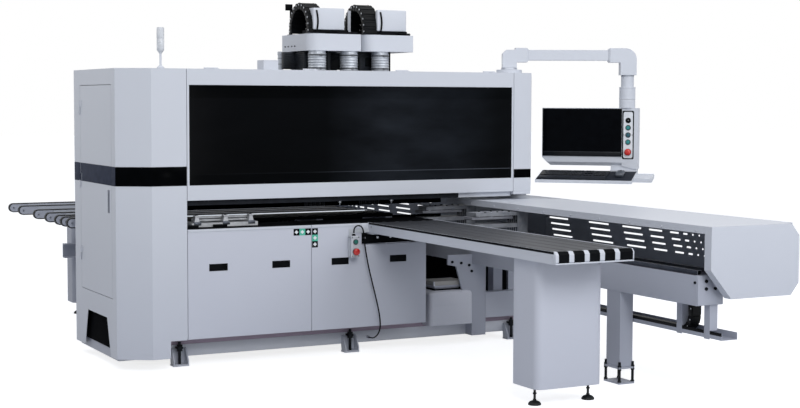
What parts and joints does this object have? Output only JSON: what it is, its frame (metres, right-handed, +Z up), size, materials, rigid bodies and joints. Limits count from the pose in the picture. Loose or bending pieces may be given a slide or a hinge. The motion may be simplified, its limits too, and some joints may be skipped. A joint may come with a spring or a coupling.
{
  "type": "cnc drilling machine",
  "caption": "Floor-standing through-feed drilling machine for furniture panels: glazed hood, twin upper heads, gripper beam, infeed belts, outfeed arms and swinging control pendant.",
  "frame": {"origin": "middle of the footprint, on the floor", "axes": "+X to the operator's right, +Y away from the operator along the gripper beam, +Z up"},
  "size_m": [3.6429, 5.806, 2.3005],
  "materials": {
    "housing_white": "fine-textured powder coat",
    "frame_grey": "satin paint",
    "panel_grey": "fine-textured powder coat",
    "dark_slat": "matte",
    "bare_metal": "machined",
    "steel": "zinc plated",
    "belt_grey": "matte",
    "chain_black": "matte",
    "hose_silver": "satin",
    "drive_grey": "matte",
    "drill_dark": "satin paint",
    "window": "tinted",
    "lamp": "gloss",
    "screen": "gloss",
    "keys_black": "matte",
    "button_green": "gloss",
    "button_teal": "gloss",
    "button_red": "gloss",
    "box_light": "satin",
    "cable_black": "matte",
    "pump_white": "satin paint"
  },
  "bodies": {
    "machine": {"base_frame": "frame_grey", "levelling_feet": "steel", "gantry_frame": "frame_grey", "left_column_cover": "housing_white", "right_column_cover": "housing_white", "roof_cover": "housing_white", "fixed_panels": "housing_white", "electrical_plate": "drive_grey", "work_table": "dark_slat", "side_fence": "bare_metal", "conveyor_frame": "housing_white", "conveyor_belts": "belt_grey", "conveyor_leg": "housing_white", "gripper_beam": "frame_grey", "beam_cover": "housing_white", "beam_guard": "housing_white", "beam_legs": "frame_grey", "cable_tray": "steel", "pump_unit": "pump_white", "outfeed_frame": "bare_metal", "outfeed_belts": "belt_grey", "tower_light": "lamp", "button_box": "box_light", "button_box_cable": "cable_black", "pendant_base": "bare_metal"},
    "hood": {"hood_frame": "housing_white", "hood_glass": "window"},
    "side_door": {"side_door": "panel_grey"},
    "left_front_panel": {"front_panel_left": "panel_grey"},
    "right_front_panel": {"front_panel_right": "panel_grey"},
    "pendant_arm": {"pendant_arm": "bare_metal"},
    "pendant": {"pendant_case": "box_light", "pendant_screen": "screen", "keyboard": "keys_black"},
    "key_switch": {"key_switch": "keys_black"},
    "start_button": {"start_button": "button_green"},
    "feed_button": {"feed_button": "button_teal"},
    "reset_button": {"reset_button": "button_green"},
    "pendant_stop": {"pendant_stop": "button_red"},
    "box_start_button": {"box_start_button": "button_green"},
    "box_stop_button": {"box_stop_button": "button_red"},
    "lower_head": {"lower_head": "drill_dark"},
    "conveyor_end_drums": {"conveyor_end_drums": "steel"},
    "conveyor_drive_drums": {"conveyor_drive_drums": "steel"},
    "outfeed_end_pulleys": {"outfeed_end_pulleys": "bare_metal"},
    "outfeed_drive_shaft": {"outfeed_drive_shaft": "steel"},
    "left_head": {"left_head_carriage": "pump_white", "left_head_hoses": "hose_silver", "left_head_chain": "chain_black"},
    "left_drill_block": {"left_head_drill_block": "drill_dark"},
    "left_spindle": {"left_head_spindle": "steel"},
    "right_head": {"right_head_carriage": "pump_white", "right_head_hoses": "hose_silver", "right_head_chain": "chain_black"},
    "right_drill_block": {"right_head_drill_block": "drill_dark"},
    "right_spindle": {"right_head_spindle": "steel"},
    "front_gripper": {"front_gripper_carriage": "bare_metal"},
    "front_jaw": {"front_gripper_jaw": "steel"},
    "rear_gripper": {"rear_gripper_carriage": "bare_metal"},
    "rear_jaw": {"rear_gripper_jaw": "steel"}
  },
  "joints": [
    {"name": "hood_hinge", "type": "hinge", "parent": "machine", "child": "hood", "pos_m": [-0.21751, -0.4465, 1.85], "axis": [-1, 0, 0], "range_deg": [0, 80]},
    {"name": "side_door_hinge", "type": "hinge", "parent": "machine", "child": "side_door", "pos_m": [-1.80601, 0.3725, 1.09], "axis": [0, 0, -1], "range_deg": [0, 100]},
    {"name": "left_panel_lift", "type": "slide", "parent": "machine", "child": "left_front_panel", "axis": [0, 0, 1], "range_m": [0, 0.025]},
    {"name": "right_panel_lift", "type": "slide", "parent": "machine", "child": "right_front_panel", "axis": [0, 0, 1], "range_m": [0, 0.025]},
    {"name": "pendant_swing", "type": "hinge", "parent": "machine", "child": "pendant_arm", "pos_m": [1.0115, -0.33, 1.969], "axis": [0, 0, 1], "range_deg": [-15, 15]},
    {"name": "pendant_turn", "type": "hinge", "parent": "pendant_arm", "child": "pendant", "pos_m": [1.73453, -0.71041, 1.666], "axis": [0, 0, 1], "range_deg": [-10, 20]},
    {"name": "key_switch_turn", "type": "hinge", "parent": "pendant", "child": "key_switch", "pos_m": [1.71685, -0.7493, 1.523], "axis": [-0.7071, -0.7071, 0], "range_deg": [-45, 45]},
    {"name": "start_button_press", "type": "slide", "parent": "pendant", "child": "start_button", "axis": [0.7071, 0.7071, 0], "range_m": [0, 0.004], "stiffness_N_per_m": 1000},
    {"name": "feed_button_press", "type": "slide", "parent": "pendant", "child": "feed_button", "axis": [0.7071, 0.7071, 0], "range_m": [0, 0.004], "stiffness_N_per_m": 1000},
    {"name": "reset_button_press", "type": "slide", "parent": "pendant", "child": "reset_button", "axis": [0.7071, 0.7071, 0], "range_m": [0, 0.004], "stiffness_N_per_m": 1000},
    {"name": "pendant_stop_press", "type": "slide", "parent": "pendant", "child": "pendant_stop", "axis": [0.7071, 0.7071, 0], "range_m": [0, 0.006], "stiffness_N_per_m": 1500},
    {"name": "box_start_press", "type": "slide", "parent": "machine", "child": "box_start_button", "axis": [0, 1, 0], "range_m": [0, 0.004], "stiffness_N_per_m": 1000},
    {"name": "box_stop_press", "type": "slide", "parent": "machine", "child": "box_stop_button", "axis": [0, 1, 0], "range_m": [0, 0.006], "stiffness_N_per_m": 1500},
    {"name": "lower_head_traverse", "type": "slide", "parent": "machine", "child": "lower_head", "axis": [1, 0, 0], "range_m": [-0.7, 0.7]},
    {"name": "front_gripper_feed", "type": "slide", "parent": "machine", "child": "front_gripper", "axis": [0, 1, 0], "range_m": [-1.6, 0.23]},
    {"name": "rear_gripper_feed", "type": "slide", "parent": "machine", "child": "rear_gripper", "axis": [0, 1, 0], "range_m": [-0.18, 2.35]},
    {"name": "front_jaw_clamp", "type": "slide", "parent": "front_gripper", "child": "front_jaw", "axis": [0, 0, 1], "range_m": [-0.022, 0]},
    {"name": "rear_jaw_clamp", "type": "slide", "parent": "rear_gripper", "child": "rear_jaw", "axis": [0, 0, 1], "range_m": [-0.022, 0]},
    {"name": "conveyor_drive_spin", "type": "hinge", "parent": "machine", "child": "conveyor_drive_drums", "pos_m": [0.102, -0.525, 0.837], "axis": [1, 0, 0], "continuous": true},
    {"name": "conveyor_end_spin", "type": "hinge", "parent": "machine", "child": "conveyor_end_drums", "pos_m": [0.102, -2.645, 0.837], "axis": [1, 0, 0], "continuous": true},
    {"name": "outfeed_drive_spin", "type": "hinge", "parent": "machine", "child": "outfeed_drive_shaft", "pos_m": [0.3015, 1.213, 0.834], "axis": [0, 1, 0], "continuous": true},
    {"name": "outfeed_end_spin", "type": "hinge", "parent": "machine", "child": "outfeed_end_pulleys", "pos_m": [-1.7875, 1.213, 0.834], "axis": [0, 1, 0], "continuous": true},
    {"name": "left_head_traverse", "type": "slide", "parent": "machine", "child": "left_head", "axis": [1, 0, 0], "range_m": [-0.78, 0]},
    {"name": "left_drill_lift", "type": "slide", "parent": "left_head", "child": "left_drill_block", "axis": [0, 0, 1], "range_m": [-0.075, 0]},
    {"name": "left_spindle_spin", "type": "hinge", "parent": "left_drill_block", "child": "left_spindle", "pos_m": [-0.1375, -0.029, 0.985], "axis": [0, 0, 1], "continuous": true},
    {"name": "right_head_traverse", "type": "slide", "parent": "machine", "child": "right_head", "axis": [1, 0, 0], "range_m": [0, 0.33]},
    {"name": "right_drill_lift", "type": "slide", "parent": "right_head", "child": "right_drill_block", "axis": [0, 0, 1], "range_m": [-0.075, 0]},
    {"name": "right_spindle_spin", "type": "hinge", "parent": "right_drill_block", "child": "right_spindle", "pos_m": [0.2545, -0.029, 0.985], "axis": [0, 0, 1], "continuous": true}
  ],
  "couplings": [
    {"joint": "conveyor_end_spin", "follows": "conveyor_drive_spin", "ratio": 1},
    {"joint": "outfeed_end_spin", "follows": "outfeed_drive_spin", "ratio": 1}
  ]
}
